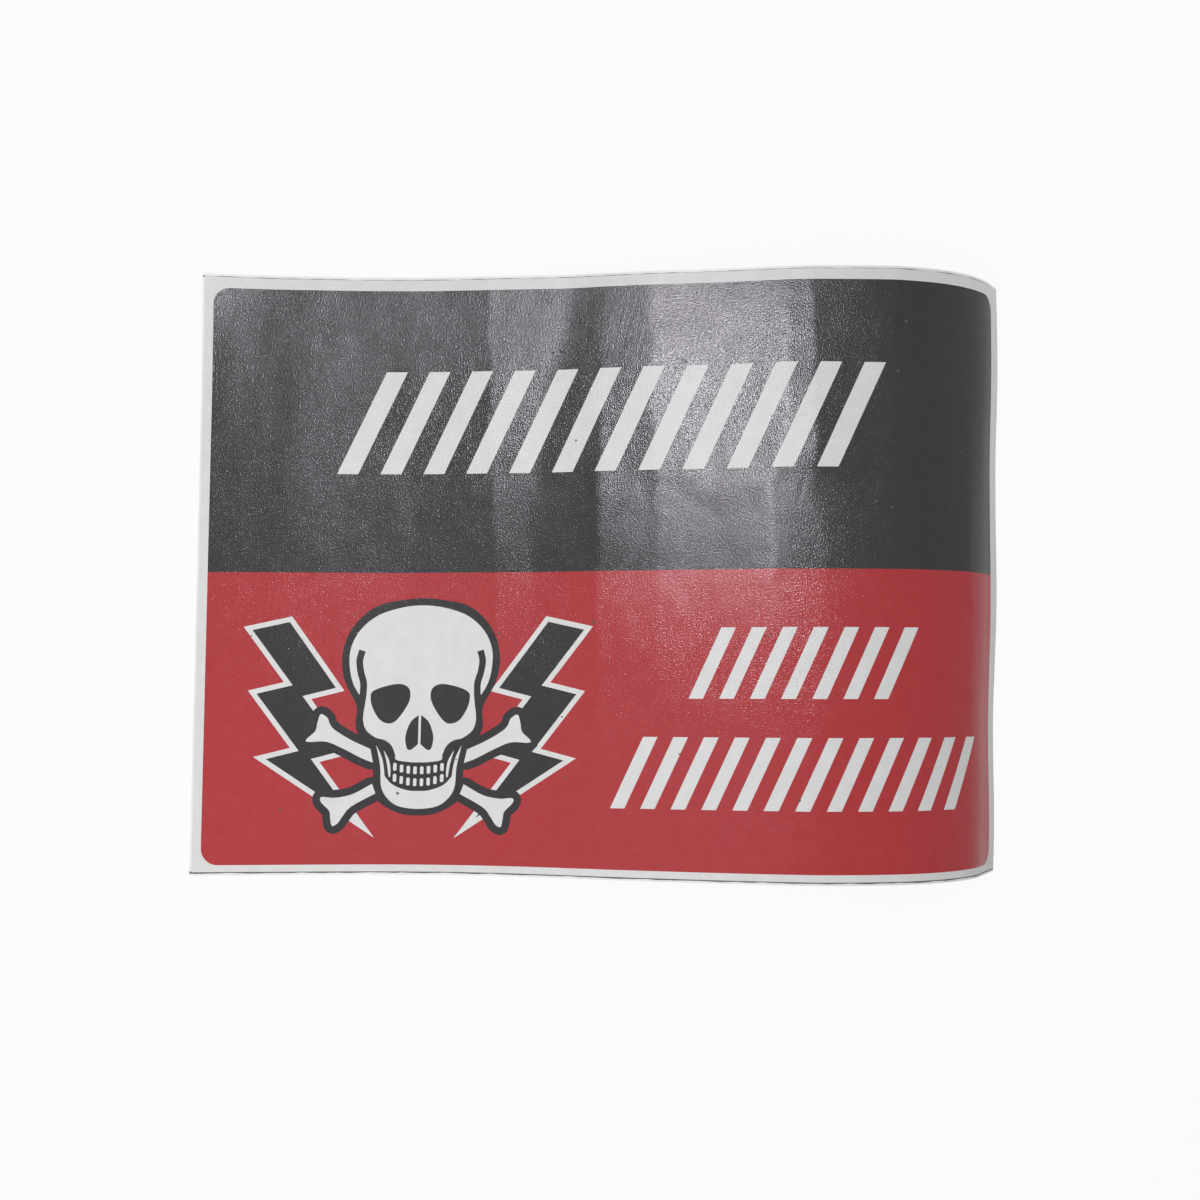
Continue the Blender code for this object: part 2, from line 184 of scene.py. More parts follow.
def divided(ring, step):
    """The ring with its long sides cut into steps."""
    out = []
    for a, b in zip(ring, ring[1:] + ring[:1]):
        count = max(1, round(hypot(b[0] - a[0], b[1] - a[1]) / step))
        out += [(a[0] + (b[0] - a[0]) * k / count, a[1] + (b[1] - a[1]) * k / count) for k in range(count)]
    return out


def spread(low, high, step):
    """Even places from low to high, about a step apart."""
    count = max(1, round((high - low) / step))
    return [low + (high - low) * k / count for k in range(count + 1)]


# The mesh: its columns and rows, the clear space beside an outline, and how near two points are one
COLUMN_STEP = 0.0016
ROW_STEP = 0.0040
RING_CLEAR = 0.0006
WELD = 0.00001


def triangles(low, high, coarse, rings=()):
    """The flat rectangle cut into triangles along the rings. Gives the points, the triangles and
    the place of each edge point."""
    corners = [(low[0], low[1]), (high[0], low[1]), (high[0], high[1]), (low[0], high[1])]
    edge = divided(corners, COLUMN_STEP)
    points = list(edge)
    sides = [(i, (i + 1) % len(edge)) for i in range(len(edge))]
    for ring, _ in rings:
        first = len(points)
        points.extend(ring)
        sides.extend((first + i, first + (i + 1) % len(ring)) for i in range(len(ring)))
    drawn = divided(edge, RING_CLEAR)
    for ring, _ in rings:
        drawn += divided(ring, RING_CLEAR)
    tree = KDTree(len(drawn))
    for i, (x, y) in enumerate(drawn):
        tree.insert((x, y, 0.0), i)
    tree.balance()
    for x in spread(low[0], high[0], coarse * COLUMN_STEP)[1:-1]:
        for y in spread(low[1], high[1], coarse * ROW_STEP)[1:-1]:
            if tree.find((x, y, 0.0))[2] > RING_CLEAR:
                points.append((x, y))
    flat, _, faces, origins, _, _ = delaunay_2d_cdt([Vector(p) for p in points], sides, [], 0, WELD)
    place = {source: i for i, sources in enumerate(origins) for source in sources}
    return np.array([tuple(p) for p in flat]), np.array(faces), np.array([place[i] for i in range(len(edge))])


def inside(points, ring):
    """Which of the flat points lie in a ring."""
    found = np.zeros(len(points), bool)
    ends = np.array(ring)
    near = np.flatnonzero(((points >= ends.min(axis=0)) & (points <= ends.max(axis=0))).all(axis=1))
    x, y = points[near].T
    hits = np.zeros(len(near), bool)
    for a, b in zip(ring, ring[1:] + ring[:1]):
        if a[1] != b[1]:
            hits ^= ((a[1] > y) != (b[1] > y)) & (x < a[0] + (y - a[1]) / (b[1] - a[1]) * (b[0] - a[0]))
    found[near] = hits
    return found


# The finish laid out flat on a square, in shares of its side: the upper face from the lower corner, the
# underside above it, squeezed, and the walls as a thin strip at the top
LAID_SPARE = 1.02
LAID_MARGIN = 0.008
LAID_UNDERSIDE = (0.74, 0.22)
LAID_WALLS = (0.01, 0.97)
LAID_STRIP = (0.985, 0.006)


def layer(name, low, high, base, thick, rings=()):
    """One layer of the sheet as a closed skin, with its flat coordinates kept for its finish."""
    top, top_faces, top_edge = triangles(low, high, 1, rings)
    under, under_faces, under_edge = triangles(low, high, 2)
    places, ways = zip(bent(top, base + thick), bent(under, base))
    shift = len(top)
    a, b = top_edge, np.roll(top_edge, -1)
    c, d = shift + np.roll(under_edge, -1), shift + under_edge
    walls = np.vstack((np.stack((a, d, c), axis=1), np.stack((a, c, b), axis=1)))
    faces = np.vstack((top_faces, shift + under_faces[:, ::-1], walls))
    mesh = bpy.data.meshes.new(name)
    mesh.from_pydata(np.vstack(places).tolist(), [], faces.tolist())
    flat = np.vstack((top, under))
    kept = mesh.attributes.new("flat", "FLOAT_VECTOR", "POINT")
    kept.data.foreach_set("vector", np.hstack((flat, np.zeros((len(flat), 1)))).astype(np.float32).ravel())

    square = flat / (max(SHEET_LONG, SHEET_HIGH) * LAID_SPARE) + LAID_MARGIN
    square[shift:, 1] = LAID_UNDERSIDE[0] + under[:, 1] / SHEET_HIGH * LAID_UNDERSIDE[1]
    corner_place = square[faces]
    part = np.arange(len(walls)) % len(a) / len(a)
    strip = np.stack((LAID_WALLS[0] + LAID_WALLS[1] * part, np.full(len(part), LAID_STRIP[0])), axis=1)
    corner_place[-len(walls):] = strip[:, None]
    corner_place[-len(walls):, 1] += (0.0, LAID_STRIP[1])
    corner_place[-len(walls):, 2] += (LAID_WALLS[1] / len(a), LAID_STRIP[1])
    laid = mesh.uv_layers.new(name="OFBake")
    laid.data.foreach_set("uv", corner_place.astype(np.float32).ravel())

    colour = np.zeros(len(faces), int)
    middles = top[top_faces].mean(axis=1)
    for ring, ink in rings:
        colour[:len(top_faces)][inside(middles, ring)] = ink
    mesh.polygons.foreach_set("material_index", colour)
    mesh.polygons.foreach_set("use_smooth", np.ones(len(faces), bool))
    sides = np.cross(*(np.vstack(places)[walls[:, k]] - np.vstack(places)[walls[:, 0]] for k in (1, 2)))
    corner_ways = np.vstack((ways[0], -ways[1]))[faces]
    corner_ways[-len(walls):] = (sides / np.linalg.norm(sides, axis=1)[:, None])[:, None]
    mesh.normals_split_custom_set(corner_ways.reshape(-1, 3).tolist())
    piece = bpy.data.objects.new(name, mesh)
    bpy.context.scene.collection.objects.link(piece)
    return piece


def add(tree, kind, settings=None, inputs=None):
    """A node in a tree, with its settings, and its inputs set or linked."""
    made = tree.nodes.new(kind)
    for name, value in (settings or {}).items():
        setattr(made, name, value)
    for name, value in (inputs or {}).items():
        if isinstance(value, bpy.types.NodeSocket):
            tree.links.new(value, made.inputs[name])
        else:
            made.inputs[name].default_value = value
    return made


def maths(tree, operation, *values):
    """The output of a Math node."""
    return add(tree, "ShaderNodeMath", {"operation": operation}, dict(enumerate(values))).outputs[0]


def start_group(name, inputs, outputs):
    """A new shader node group: its tree, its input node's outputs and its output node's inputs."""
    tree = bpy.data.node_groups.new(name, "ShaderNodeTree")
    for label, kind, value in inputs:
        socket = tree.interface.new_socket(name=label, in_out="INPUT", socket_type="NodeSocket" + kind)
        socket.default_value = value
    for label, kind in outputs:
        tree.interface.new_socket(name=label, in_out="OUTPUT", socket_type="NodeSocket" + kind)
    return tree, tree.nodes.new("NodeGroupInput").outputs, tree.nodes.new("NodeGroupOutput").inputs


def place_group(tree, group, inputs):
    """A node group put in a material with its own values."""
    made = tree.nodes.new("ShaderNodeGroup")
    made.node_tree = group
    for name, value in inputs.items():
        if isinstance(value, bpy.types.NodeSocket):
            tree.links.new(value, made.inputs[name])
        else:
            made.inputs[name].default_value = value
    return made.outputs


def start_material(name):
    """A new material: itself, its tree, its shader and its flat coordinates."""
    material = bpy.data.materials.new(name)
    material.use_nodes = True
    tree = material.node_tree
    where = add(tree, "ShaderNodeAttribute", {"attribute_name": "flat"})
    return material, tree, tree.nodes["Principled BSDF"], where.outputs["Vector"]


# Cloudy change: soft patches of a wanted size, from about -1 to 1
cloud_tree, given, wanted = start_group(
    "cloud",
    (("Flat", "Vector", (0.0, 0.0, 0.0)), ("Size", "Float", 0.02), ("Seed", "Float", 0.0),
     ("Detail", "Float", 2.0)),
    (("Value", "Float"),))
elsewhere = add(cloud_tree, "ShaderNodeVectorMath", {"operation": "ADD"}, {
    0: given["Flat"], 1: given["Seed"]})
cloud_noise = add(cloud_tree, "ShaderNodeTexNoise", {"noise_dimensions": "2D"}, {
    "Vector": elsewhere.outputs[0], "Detail": given["Detail"], "Roughness": 0.5,
    "Scale": maths(cloud_tree, "DIVIDE", 1.0, given["Size"])})
cloud_tree.links.new(maths(cloud_tree, "MULTIPLY_ADD", cloud_noise.outputs[0], 4.0, -2.0), wanted["Value"])

# Small marks: dark specks of dirt scattered thinly, as a mask
speck_tree, given, wanted = start_group(
    "specks",
    (("Flat", "Vector", (0.0, 0.0, 0.0)), ("Spacing", "Float", 0.02), ("Radius", "Float", 0.0002)),
    (("Mask", "Float"),))
speck_cells = add(speck_tree, "ShaderNodeTexVoronoi", {"voronoi_dimensions": "2D"}, {
    "Vector": given["Flat"], "Scale": maths(speck_tree, "DIVIDE", 1.0, given["Spacing"])})
speck_size = add(speck_tree, "ShaderNodeSeparateColor", None, {"Color": speck_cells.outputs["Color"]})
speck_share = maths(speck_tree, "DIVIDE", given["Radius"], given["Spacing"])
speck_reach = maths(speck_tree, "MULTIPLY", speck_share, speck_size.outputs[0])
speck_here = maths(speck_tree, "LESS_THAN", speck_cells.outputs["Distance"], speck_reach)
speck_tree.links.new(speck_here, wanted["Mask"])

# Painted shadow: a thin dark line painted on the liner along the film's upper and lower edges, where the
# film's edge shades it. Its half width changes along it, and it is wider below by twice its shift.
FILM_INSET_SIDE = 0.0008
FILM_INSET_END = 0.0013
EDGE_SHADOW_HALF = 0.0004
EDGE_SHADOW_SHIFT = 0.00012
EDGE_SHADOW_WANDER = 0.0002
EDGE_SHADOW_SOFT = 0.00006
EDGE_SHADOW_COLOUR = (0.085, 0.082, 0.076, 1.0)
EDGE_SHADOW_WANDER_PATCH = 0.010
LINER_WHITE = (0.82, 0.82, 0.80, 1.0)
LINER_DULL = (0.74, 0.73, 0.71, 1.0)
LINER_PATCH = 0.018
LINER_FIBRE = 0.0009
LINER_FIBRE_DEPTH = 0.00001
LINER_ROUGHNESS = 0.5
liner_paper, tree, shader, where = start_material("liner_paper")
liner_cloud = place_group(tree, cloud_tree, {"Flat": where, "Size": LINER_PATCH, "Seed": 0.3})["Value"]
liner_fibre = place_group(tree, cloud_tree, {"Flat": where, "Size": LINER_FIBRE, "Seed": 0.5})["Value"]
liner_mix = add(tree, "ShaderNodeMix", {"data_type": "RGBA"}, {
    "Factor": maths(tree, "MULTIPLY_ADD", liner_cloud, 0.3, 0.4), 6: LINER_WHITE, 7: LINER_DULL})
split = add(tree, "ShaderNodeSeparateXYZ", None, {"Vector": where})
# The painted shadow line along the film's upper and lower edges, with a cloud that makes its width wander
edge_shadow_wobble = place_group(tree, cloud_tree, {"Flat": where, "Size": EDGE_SHADOW_WANDER_PATCH, "Seed": 0.7})["Value"]
up_from_middle = maths(tree, "SUBTRACT", split.outputs[1], SHEET_HIGH / 2 - EDGE_SHADOW_SHIFT)
past_line = maths(tree, "SUBTRACT", maths(tree, "ABSOLUTE", up_from_middle), SHEET_HIGH / 2 - FILM_INSET_END)
from_line = maths(tree, "ABSOLUTE", past_line)
edge_shadow_line = add(tree, "ShaderNodeMapRange", {"interpolation_type": "SMOOTHSTEP"}, {
    "Value": maths(tree, "MULTIPLY_ADD", edge_shadow_wobble, EDGE_SHADOW_WANDER, from_line),
    "From Min": EDGE_SHADOW_HALF + EDGE_SHADOW_SOFT, "From Max": EDGE_SHADOW_HALF - EDGE_SHADOW_SOFT})
# The liner's colour with the painted edge shadow laid over it
edge_shadowed = add(tree, "ShaderNodeMix", {"data_type": "RGBA"}, {
    "Factor": edge_shadow_line.outputs[0], 6: liner_mix.outputs[2], 7: EDGE_SHADOW_COLOUR})
tree.links.new(edge_shadowed.outputs[2], shader.inputs["Base Color"])
tree.links.new(maths(tree, "MULTIPLY_ADD", liner_fibre, 0.05, LINER_ROUGHNESS), shader.inputs["Roughness"])
liner_bump = add(tree, "ShaderNodeBump", None, {
    "Strength": 0.6, "Distance": LINER_FIBRE_DEPTH, "Height": liner_fibre})
tree.links.new(liner_bump.outputs[0], shader.inputs["Normal"])

liner = layer("liner_sheet", (0.0, 0.0), (SHEET_LONG, SHEET_HIGH), 0.0, LINER_THICK)
liner.data.materials.append(liner_paper)
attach(liner, "root")
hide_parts("release_liner")

# The printed vinyl is white adhesive film, printed black and red and covered with a clear satin
# laminate that has a fine grain. It is stuck to the liner face to face and cut a little smaller.
FILM_THICK = 0.00018
ADHESIVE_THICK = 0.00003

PRINT_LEFT = 0.0044
PRINT_RIGHT = 0.0076
PRINT_TOP = 0.0059
PRINT_BOTTOM = 0.0041
PRINT_CORNER = 0.0068
CORNER_STEPS = 16
CURVE_STEPS = 8
RING_STEP = 0.0016
WRAP_KEEP = 0.995

BAR_LEAN = 25.0
LARGE_BAR = {"wide": 0.0088, "high": 0.0435, "pitch": 0.0181}
SMALL_BAR = {"wide": 0.0058, "high": 0.0285, "pitch": 0.0122}
BLACK_ROWS = ((LARGE_BAR, 0.0524, 0.0574, 0.346),)
RED_ROWS = (
    (SMALL_BAR, 0.1995, 0.0462, 0.567),
    (SMALL_BAR, 0.1680, 0.0167, 0.202),
)

# The figure is a skull, crossed bones and two bolts. Its points are in millimetres from its middle,
# right half only. Curves run through them, and a point named twice is a sharp corner.
FIGURE_IN = 0.0884
FIGURE_LEAN = 1.0
BOLT_SHIFT = -1.1
BOLT_EDGE = 2.1
BOLT = ((53.0, 41.7), (72.7, 37.3), (55.4, 14.5), (70.0, 11.0), (52.0, -12.5), (66.8, -16.2),
        (16.4, -49.2), (39.7, -18.3), (27.1, -15.0), (44.0, 7.5), (30.5, 10.9))
BONE_EDGE = 3.2
UPPER_BONE = ((41.0, 1.3), (38.2, -0.2), (37.0, -2.9), (34.8, -5.3), (28.2, -9.3), (20.1, -13.0),
              (20.1, -13.0), (18.9, -18.6), (18.9, -18.6), (24.0, -16.6), (31.9, -12.6), (38.5, -10.0),
              (45.6, -10.1), (46.5, -9.0), (43.0, -5.6), (42.2, -2.0))
LOWER_BONE = ((39.5, -32.6), (34.2, -32.9), (27.1, -31.5), (19.0, -27.2), (19.0, -27.2),
              (17.5, -31.2), (17.5, -31.2), (27.1, -36.4), (30.4, -40.1), (32.6, -43.3), (34.9, -44.3),
              (35.7, -41.0), (36.3, -38.1), (39.6, -34.7))
SKULL = ((0.0, 49.4), (9.5, 48.5), (19.0, 46.2), (26.7, 40.2), (31.4, 32.4), (33.0, 23.5),
         (31.3, 14.2), (26.4, 4.6), (26.6, -2.0), (25.4, -7.0), (20.4, -14.0), (18.8, -22.4),
         (18.2, -29.0), (15.9, -34.7), (9.7, -38.4), (5.0, -39.8), (0.0, -40.1))
FACE = ((0.0, 46.4), (9.1, 45.4), (19.0, 42.0), (26.2, 35.6), (29.6, 28.0), (29.7, 20.5),
        (28.2, 14.2), (25.6, 9.5), (25.6, 9.5), (23.4, 9.0), (23.4, 3.1), (23.5, -1.5), (22.0, -5.4),
        (18.1, -8.3), (14.5, -9.3), (11.6, -11.4), (9.9, -15.0), (9.3, -17.4), (4.0, -18.3),
        (0.0, -18.4))
TEMPLE = ((24.7, 27.6), (25.7, 23.5), (25.1, 18.7), (23.9, 14.6), (23.8, 10.9), (24.2, 6.5), (24.8, 2.5))
TEMPLE_WIDE = 2.8
SOCKET = ((20.0, 10.6), (14.9, 12.8), (8.6, 13.8), (4.9, 12.0), (4.3, 8.0), (6.1, 3.7),
          (9.6, -1.0), (12.6, -2.5), (16.6, -1.0), (19.6, 3.6), (20.7, 7.6))
NOSTRIL = ((0.5, 1.0), (0.5, 1.0), (3.8, -1.9), (5.8, -7.6), (5.2, -12.3), (3.9, -13.4),
           (2.3, -12.5), (0.5, -10.9), (0.5, -10.9))
JAW = ((0.0, -37.4), (7.6, -36.4), (12.2, -33.5), (15.2, -28.5), (15.9, -20.0), (17.8, -11.3),
       (17.8, -11.3), (15.1, -17.0), (13.9, -24.1), (13.9, -24.1), (10.6, -27.5), (5.0, -29.7),
       (0.0, -30.1))
CHEEK_SLIT = ((14.7, -13.2), (14.7, -13.2), (12.5, -17.1), (11.7, -20.2), (11.6, -24.0),
              (12.3, -24.0), (13.1, -19.2))
TOOTH_WIDE = 1.45
TOOTH_HIGH = 3.2
TOOTH_PITCH = 2.8
TEETH_EACH_SIDE = 4
TEETH_ROWS = ((-21.7, 0.015), (-26.6, 0.019))
WHITE, BLACK, RED = range(3)


def curve(points):
    """A smooth closed curve through points, with a sharp corner at a point named twice."""
    out = []
    for i in range(len(points)):
        a, b, c, d = (Vector(points[(i + k) % len(points)]) for k in (-1, 0, 1, 2))
        for k in range(CURVE_STEPS if b != c else 0):
            x = k / CURVE_STEPS
            bend = (2 * a - 5 * b + 4 * c - d) * x * x + (3 * b - a - 3 * c + d) * x * x * x
            out.append(tuple((2 * b + (c - a) * x + bend) / 2))
    return out


def mirrored(half):
    """A closed ring from its right half, which starts and ends on the middle line."""
    return list(half) + [(-x, y) for x, y in reversed(half[1:-1])]


def side_normals(ring):
    """The outward normal of each side of a ring."""
    pairs = list(zip(ring, ring[1:] + ring[:1]))
    turn = 1.0 if sum(a[0] * b[1] - b[0] * a[1] for a, b in pairs) > 0 else -1.0
    sides = [(Vector(b) - Vector(a)).normalized() * turn for a, b in pairs]
    return [Vector((side.y, -side.x)) for side in sides]


def pushed(ring, distance):
    """The ring with each side moved out by a distance."""
    normals = side_normals(ring)
    out = []
    for i, p in enumerate(ring):
        one, two = normals[i - 1], normals[i]
        out.append(tuple(Vector(p) + (one + two) * distance / (1.0 + one.dot(two))))
    return out


def wrapped(ring, distance):
    """A round outline at a distance outside a smooth ring, without the loops of its hollows."""
    normals = side_normals(ring)
    out = []
    for i, p in enumerate(ring):
        q = Vector(p) + (normals[i - 1] + normals[i]).normalized() * distance
        if min((q - Vector(other)).length for other in ring) > WRAP_KEEP * distance:
            out.append(tuple(q))
    return out


def smoothed(path):
    """An open path with a smooth curve through its points."""
    ends = curve(list(path) + [path[-1], path[0]])
    return ends[:(len(path) - 1) * CURVE_STEPS] + [path[-1]]


def band(path, wide):
    """A strip of even width along an open path."""
    left, right = [], []
    for i, p in enumerate(path):
        step = Vector(path[min(i + 1, len(path) - 1)]) - Vector(path[max(i - 1, 0)])
        out = Vector((-step.y, step.x)).normalized() * wide / 2
        left.append(tuple(Vector(p) + out))
        right.append(tuple(Vector(p) - out))
    return left + right[::-1]


def rounded(low, high, radius, corners):
    """A rectangle whose named corners are round, anticlockwise from the lower left one."""
    out = []
    sides = ((low[0], low[1], 180), (high[0], low[1], 270), (high[0], high[1], 0), (low[0], high[1], 90))
    for name, (x, y, start) in zip(("lower", "lower", "upper", "upper"), sides):
        if name not in corners:
            out.append((x, y))
            continue
        centre_x = x + radius if x == low[0] else x - radius
        centre_y = y + radius if y == low[1] else y - radius
        for k in range(CORNER_STEPS + 1):
            angle = radians(start + 90.0 * k / CORNER_STEPS)
            out.append((centre_x + radius * cos(angle), centre_y + radius * sin(angle)))
    return out


def tooth(x, y):
    """A small upright block with its corners cut."""
    w, h, cut = TOOTH_WIDE / 2, TOOTH_HIGH / 2, TOOTH_WIDE / 4
    return [(x - w, y - h + cut), (x - w + cut, y - h), (x + w - cut, y - h), (x + w, y - h + cut),
            (x + w, y + h - cut), (x + w - cut, y + h), (x - w + cut, y + h), (x - w, y + h - cut)]


figure = []


def both(ring, colour, shift=0.0):
    """A ring of the figure and its mirror."""
    figure.append(([(x + shift, y) for x, y in ring], colour))
    figure.append(([(shift - x, y) for x, y in ring][::-1], colour))


both(list(BOLT), WHITE, BOLT_SHIFT)
both(pushed(list(BOLT), -BOLT_EDGE), BLACK, BOLT_SHIFT)
for bone in (UPPER_BONE, LOWER_BONE):
    both(wrapped(curve(bone), BONE_EDGE), BLACK)
figure.append((curve(mirrored(SKULL)), BLACK))
for bone in (UPPER_BONE, LOWER_BONE):
    both(curve(bone), WHITE)
figure.append((curve(mirrored(FACE)), WHITE))
figure.append((curve(mirrored(JAW)), WHITE))
both(band(smoothed(TEMPLE), TEMPLE_WIDE), BLACK)
both(curve(SOCKET), BLACK)
both(curve(NOSTRIL), BLACK)
both(curve(CHEEK_SLIT), WHITE)
for base, bow in TEETH_ROWS:
    for k in range(TEETH_EACH_SIDE):
        x = (k + 0.5) * TOOTH_PITCH
        both(tooth(x, base + bow * x * x), WHITE)

left, bottom = PRINT_LEFT, PRINT_BOTTOM
right, top = SHEET_LONG - PRINT_RIGHT, SHEET_HIGH - PRINT_TOP
line = (bottom + top) / 2
rings = [
    (rounded((left, line), (right, top), PRINT_CORNER, ("upper",)), BLACK),
    (rounded((left, bottom), (right, line), PRINT_CORNER, ("lower",)), RED),
]
for rows, field_low, field_high in ((BLACK_ROWS, line, top), (RED_ROWS, bottom, line)):
    for size, margin_left, margin_right, share in rows:
        lean = size["high"] * tan(radians(BAR_LEAN))
        low = field_low + share * (field_high - field_low)
        for x in spread(left + margin_left, right - margin_right - size["wide"] - lean, size["pitch"]):
            ends = ((x, low), (x + size["wide"], low))
            rings.append(([*ends, *((a + lean, b + size["high"]) for a, b in reversed(ends))], WHITE))
lean = tan(radians(FIGURE_LEAN))
for ring, colour in figure:
    placed = [(left + FIGURE_IN + (x + y * lean) / 1000, (bottom + line) / 2 + y / 1000) for x, y in ring]
    rings.append((placed, colour))
rings = [(divided(ring, RING_STEP), colour) for ring, colour in rings]

film = layer("vinyl_film", (FILM_INSET_SIDE, FILM_INSET_END),
             (SHEET_LONG - FILM_INSET_SIDE, SHEET_HIGH - FILM_INSET_END),
             LINER_THICK + ADHESIVE_THICK, FILM_THICK, rings)

# Ripples: fine parallel lines in one patch of the laminate, left by rubbing it down, as a height. They
# are ten times as long as they are wide.
RIPPLE_SHORTER = 0.10
ripple_tree, given, wanted = start_group(
    "ripples",
    (("Flat", "Vector", (0.0, 0.0, 0.0)), ("At", "Vector", (0.0, 0.0, 0.0)), ("Angle", "Float", 0.0),
     ("Patch", "Float", 0.03), ("Spacing", "Float", 0.0014)),
    (("Height", "Float"),))
offset = add(ripple_tree, "ShaderNodeVectorMath", {"operation": "SUBTRACT"}, {
    0: given["Flat"], 1: given["At"]})
turned = add(ripple_tree, "ShaderNodeVectorRotate", {"rotation_type": "Z_AXIS"}, {
    "Vector": offset.outputs[0], "Angle": given["Angle"]})
fine = maths(ripple_tree, "DIVIDE", 1.0, given["Spacing"])
coarse = maths(ripple_tree, "MULTIPLY", fine, RIPPLE_SHORTER)
drawn_out = add(ripple_tree, "ShaderNodeCombineXYZ", None, {0: coarse, 1: fine, 2: 1.0})
stretched = add(ripple_tree, "ShaderNodeVectorMath", {"operation": "MULTIPLY"}, {
    0: turned.outputs[0], 1: drawn_out.outputs[0]})
ripple_noise = add(ripple_tree, "ShaderNodeTexNoise", None, {
    "Vector": stretched.outputs[0], "Scale": 1.0, "Detail": 0.0})
ripple_far = add(ripple_tree, "ShaderNodeVectorMath", {"operation": "LENGTH"}, {0: offset.outputs[0]})
ripple_near = add(ripple_tree, "ShaderNodeMapRange", {"interpolation_type": "SMOOTHSTEP"}, {
    "Value": maths(ripple_tree, "DIVIDE", ripple_far.outputs["Value"], given["Patch"]),
    "From Min": 1.0, "From Max": 0.2})
ripple_wave = maths(ripple_tree, "SUBTRACT", ripple_noise.outputs[0], 0.5)
ripple_tree.links.new(maths(ripple_tree, "MULTIPLY", ripple_wave, ripple_near.outputs[0]), wanted["Height"])

# A swelling of the film, round or drawn out along its own axis, as a height from 0 to 1
swell_tree, given, wanted = start_group(
    "swelling",
    (("Flat", "Vector", (0.0, 0.0, 0.0)), ("At", "Vector", (0.0, 0.0, 0.0)), ("Angle", "Float", 0.0),
     ("Reach", "Vector", (0.01, 0.01, 1.0))),
    (("Height", "Float"),))
offset = add(swell_tree, "ShaderNodeVectorMath", {"operation": "SUBTRACT"}, {
    0: given["Flat"], 1: given["At"]})
turned = add(swell_tree, "ShaderNodeVectorRotate", {"rotation_type": "Z_AXIS"}, {
    "Vector": offset.outputs[0], "Angle": given["Angle"]})
shared = add(swell_tree, "ShaderNodeVectorMath", {"operation": "DIVIDE"}, {
    0: turned.outputs[0], 1: given["Reach"]})
swell_far = add(swell_tree, "ShaderNodeVectorMath", {"operation": "LENGTH"}, {0: shared.outputs[0]})
swell_near = add(swell_tree, "ShaderNodeMapRange", {"interpolation_type": "SMOOTHSTEP"}, {
    "Value": swell_far.outputs["Value"], "From Min": 1.0, "From Max": 0.0})
swell_tree.links.new(swell_near.outputs[0], wanted["Height"])

# Each patch: its middle, the turn of its lines in degrees, its reach, their spacing and their depth
RIPPLES = (
    ((0.0391, 0.165, 0.0), 4.0, 0.060, 0.0016, 0.040),
    ((0.1751, 0.226, 0.0), 76.0, 0.024, 0.0015, 0.060),
    ((0.2041, 0.152, 0.0), -35.0, 0.024, 0.0050, 0.080),
)
# Each swelling: its middle, its turn in degrees, its two reaches and its height in millimetres. The first
# ones are broad and low, the last five are dents from a nail or a corner and one grain of dust.
SWELLINGS = (
    ((0.0944, 0.235, 0.0), 0.0, (0.045, 0.050, 1.0), 0.15),
    ((0.0664, 0.238, 0.0), 0.0, (0.026, 0.042, 1.0), 0.12),
    ((0.0291, 0.190, 0.0), 0.0, (0.080, 0.110, 1.0), -1.40),
    ((0.0444, 0.186, 0.0), 4.0, (0.017, 0.040, 1.0), 0.12),
    ((0.0404, 0.148, 0.0), -5.0, (0.022, 0.032, 1.0), 0.12),
    ((0.0804, 0.152, 0.0), 0.0, (0.012, 0.030, 1.0), 0.12),
    ((0.2091, 0.160, 0.0), 55.0, (0.010, 0.022, 1.0), 0.14),
    ((0.2211, 0.158, 0.0), -55.0, (0.010, 0.020, 1.0), 0.14),
    ((0.1991, 0.109, 0.0), 30.0, (0.007, 0.020, 1.0), 0.12),
    ((0.2121, 0.099, 0.0), -35.0, (0.007, 0.018, 1.0), 0.12),
    ((0.1771, 0.100, 0.0), 20.0, (0.008, 0.018, 1.0), 0.10),
    ((0.1931, 0.034, 0.0), 0.0, (0.014, 0.014, 1.0), 0.25),
    ((0.2499, 0.157, 0.0), -12.0, (0.0018, 0.010, 1.0), -0.05),
    ((0.1469, 0.2163, 0.0), 20.0, (0.0020, 0.0006, 1.0), -0.10),
    ((0.1508, 0.2168, 0.0), -24.0, (0.0023, 0.0007, 1.0), -0.12),
    ((0.2027, 0.2111, 0.0), -38.0, (0.0018, 0.0006, 1.0), -0.10),
    ((0.2504, 0.1478, 0.0), 0.0, (0.0005, 0.0005, 1.0), 0.06),
)

